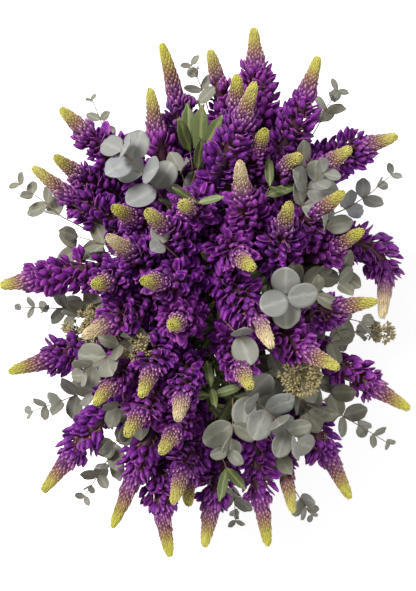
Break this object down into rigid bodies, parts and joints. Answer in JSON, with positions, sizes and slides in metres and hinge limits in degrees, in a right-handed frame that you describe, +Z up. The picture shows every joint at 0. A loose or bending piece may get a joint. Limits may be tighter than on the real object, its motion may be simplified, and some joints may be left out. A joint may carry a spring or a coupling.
{
  "type": "hand-tied lupin bouquet",
  "caption": "Domed bouquet of purple lupin flower spikes with yellow-green tips and silver-dollar eucalyptus, bound with twine, standing on its cut stems",
  "frame": {"origin": "centre of the middle stem's cut end, on the surface that the bouquet stands on", "axes": "+Z up along the middle stem, +Y along the bouquet head's longer width, +X along its shorter width"},
  "size_m": [0.5112, 0.656, 0.5487],
  "materials": {
    "lupin": "soft matte petals, violet with yellow-green buds at the tip, on a green stem",
    "eucalyptus": "matte silver-green leaves with a waxy bloom",
    "green_leaf": "satin fresh green leaves",
    "twine": "rough natural jute twine"
  },
  "bodies": {
    "root": {"lupin_01": "lupin", "lupin_02": "lupin", "lupin_03": "lupin", "lupin_04": "lupin", "lupin_05": "lupin", "lupin_06": "lupin", "lupin_07": "lupin", "lupin_08": "lupin", "lupin_09": "lupin", "lupin_10": "lupin", "lupin_11": "lupin", "lupin_12": "lupin", "lupin_13": "lupin", "lupin_14": "lupin", "lupin_15": "lupin", "lupin_16": "lupin", "lupin_17": "lupin", "lupin_18": "lupin", "lupin_19": "lupin", "lupin_20": "lupin", "lupin_21": "lupin", "lupin_22": "lupin", "lupin_23": "lupin", "lupin_24": "lupin", "lupin_25": "lupin", "lupin_26": "lupin", "lupin_27": "lupin", "lupin_28": "lupin", "lupin_29": "lupin", "lupin_30": "lupin", "lupin_31": "lupin", "lupin_32": "lupin", "lupin_33": "lupin", "lupin_34": "lupin", "lupin_35": "lupin", "lupin_36": "lupin", "lupin_37": "lupin", "lupin_38": "lupin", "lupin_39": "lupin", "lupin_40": "lupin", "lupin_41": "lupin", "lupin_42": "lupin", "lupin_43": "lupin", "lupin_44": "lupin", "lupin_45": "lupin", "lupin_46": "lupin", "lupin_47": "lupin", "lupin_48": "lupin", "lupin_49": "lupin", "eucalyptus_01": "eucalyptus", "eucalyptus_02": "eucalyptus", "eucalyptus_03": "eucalyptus", "eucalyptus_04": "eucalyptus", "eucalyptus_05": "eucalyptus", "eucalyptus_06": "eucalyptus", "eucalyptus_07": "eucalyptus", "eucalyptus_08": "eucalyptus", "green_leaves_01": "green_leaf", "green_leaves_02": "green_leaf", "twine_tie": "twine"}
  },
  "joints": []
}
